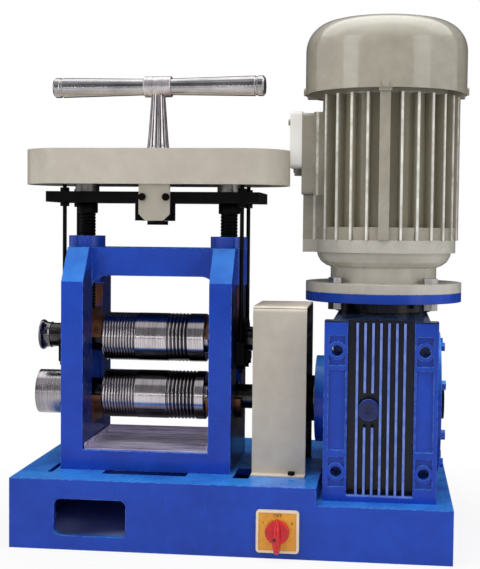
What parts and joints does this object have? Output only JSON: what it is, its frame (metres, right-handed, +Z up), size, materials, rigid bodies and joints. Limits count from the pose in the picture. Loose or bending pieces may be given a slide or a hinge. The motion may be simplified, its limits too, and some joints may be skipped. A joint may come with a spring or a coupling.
{
  "type": "electric rolling mill",
  "caption": "Bench rolling mill for wire and sheet: a flange motor and worm gearbox drive grooved rolls, and a T-handle with geared screws sets the gap.",
  "frame": {"origin": "under the middle of the base, on the bench", "axes": "+X towards the motor, -Y to the operator at the front, +Z up"},
  "size_m": [0.5505, 0.3508, 0.6395],
  "materials": {
    "blue_paint": "gloss enamel over cast and welded metal",
    "cream_paint": "satin enamel on sheet metal",
    "motor_paint": "gloss enamel",
    "steel": "turned and ground",
    "polished_steel": "polished",
    "black_steel": "blackened and oiled",
    "bronze": "machined bearing bronze",
    "core": "laminated core",
    "black_plastic": "moulded",
    "yellow_plate": "moulded, cream rim",
    "red_knob": "moulded"
  },
  "bodies": {
    "base": {"base_frame": "blue_paint", "base_deck": "blue_paint", "switch_body": "black_plastic", "switch_plate": "yellow_plate", "mill_housing": "blue_paint", "foot_bolts": "steel", "catch_tray": "steel", "lower_brasses": "bronze", "screw_nuts": "blue_paint", "gear_guard": "cream_paint", "guard_screws": "black_steel", "gearbox_case": "blue_paint", "side_cover": "blue_paint", "cover_bolts": "blue_paint", "input_flange": "blue_paint", "oil_plug": "blue_paint", "gearbox_bearings": "steel", "motor_frame": "motor_paint", "flange_shield": "motor_paint", "rear_shield": "motor_paint", "flange_bolts": "steel", "stator": "core", "motor_bearings": "steel", "fan_cowl": "motor_paint", "terminal_box": "motor_paint", "terminal_lid": "motor_paint", "motor_screws": "motor_paint", "cable_gland": "black_plastic"},
    "knob": {"switch_knob": "red_knob"},
    "lift": {"upper_brasses": "bronze", "cross_plate": "black_steel", "centre_block": "black_steel", "gear_cover": "cream_paint", "cover_bracket": "cream_paint", "bracket_screws": "black_steel", "hanger_rods": "black_steel", "hanger_nuts": "black_steel", "hangers": "black_steel"},
    "left_screw": {"screw_left": "black_steel", "screw_gear_left": "steel"},
    "right_screw": {"screw_right": "black_steel", "screw_gear_right": "steel"},
    "handle": {"handle_shaft": "steel", "handle_pinion": "steel", "handle_stem": "polished_steel", "handle_bar": "polished_steel"},
    "upper_roll_set": {"upper_roll": "steel", "upper_pinion": "steel", "upper_collar": "black_steel"},
    "lower_roll_set": {"lower_roll": "steel", "lower_pinion": "steel", "lower_ring": "steel", "roll_coupling": "black_steel", "drive_shaft": "steel", "output_sleeve": "steel", "worm_wheel": "bronze", "shaft_cap": "black_steel"},
    "rotor": {"motor_rotor": "steel", "worm": "steel", "cooling_fan": "black_plastic"}
  },
  "joints": [
    {"name": "knob_turn", "type": "hinge", "parent": "base", "child": "knob", "pos_m": [0.059, -0.159, 0.032], "axis": [0, -1, 0], "range_deg": [-60, 60]},
    {"name": "gap_slide", "type": "slide", "parent": "base", "child": "lift", "axis": [0, 0, 1], "range_m": [-0.0117, 0.003]},
    {"name": "handle_turn", "type": "hinge", "parent": "lift", "child": "handle", "pos_m": [-0.1075, -0.022, 0.45], "axis": [0, 0, 1], "range_deg": [-308, 1203]},
    {"name": "left_screw_turn", "type": "hinge", "parent": "lift", "child": "left_screw", "pos_m": [-0.1975, -0.022, 0.45], "axis": [0, 0, 1], "range_deg": [-1053, 270]},
    {"name": "right_screw_turn", "type": "hinge", "parent": "lift", "child": "right_screw", "pos_m": [-0.0175, -0.022, 0.45], "axis": [0, 0, 1], "range_deg": [-1053, 270]},
    {"name": "lower_roll_turn", "type": "hinge", "parent": "base", "child": "lower_roll_set", "pos_m": [-0.1075, -0.022, 0.166], "axis": [1, 0, 0], "continuous": true},
    {"name": "upper_roll_turn", "type": "hinge", "parent": "lift", "child": "upper_roll_set", "pos_m": [-0.1075, -0.022, 0.238], "axis": [1, 0, 0], "continuous": true},
    {"name": "rotor_turn", "type": "hinge", "parent": "base", "child": "rotor", "pos_m": [0.1725, 0.068, 0.45], "axis": [0, 0, 1], "continuous": true}
  ],
  "couplings": [
    {"joint": "gap_slide", "follows": "handle_turn", "m_per_rad": -0.00055704},
    {"joint": "left_screw_turn", "follows": "handle_turn", "ratio": -0.875},
    {"joint": "right_screw_turn", "follows": "handle_turn", "ratio": -0.875},
    {"joint": "upper_roll_turn", "follows": "lower_roll_turn", "ratio": -1},
    {"joint": "rotor_turn", "follows": "lower_roll_turn", "ratio": -60}
  ]
}
